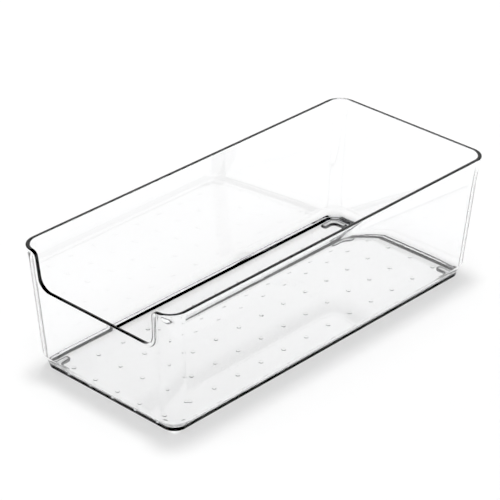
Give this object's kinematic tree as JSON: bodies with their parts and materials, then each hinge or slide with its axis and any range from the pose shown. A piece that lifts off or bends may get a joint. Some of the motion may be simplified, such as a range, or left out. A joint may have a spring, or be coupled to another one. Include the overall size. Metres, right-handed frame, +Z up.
{
  "type": "storage organizer bin",
  "caption": "Clear open-top storage bin with tapered walls, a beaded rim, a cut-out front, a dotted floor and corner feet.",
  "frame": {"origin": "under the middle of the bin, on the surface that its feet stand on", "axes": "+Y along the length, away from the wall with the cut-out; +X across the width; +Z up, out of the open top"},
  "size_m": [0.132, 0.2999, 0.09],
  "materials": {
    "clear_body": "clear, polished",
    "clear_feet": "clear, satin"
  },
  "bodies": {
    "root": {"bin_body": "clear_body", "foot_front_right": "clear_feet", "foot_rear_right": "clear_feet", "foot_rear_left": "clear_feet", "foot_front_left": "clear_feet"}
  },
  "joints": []
}
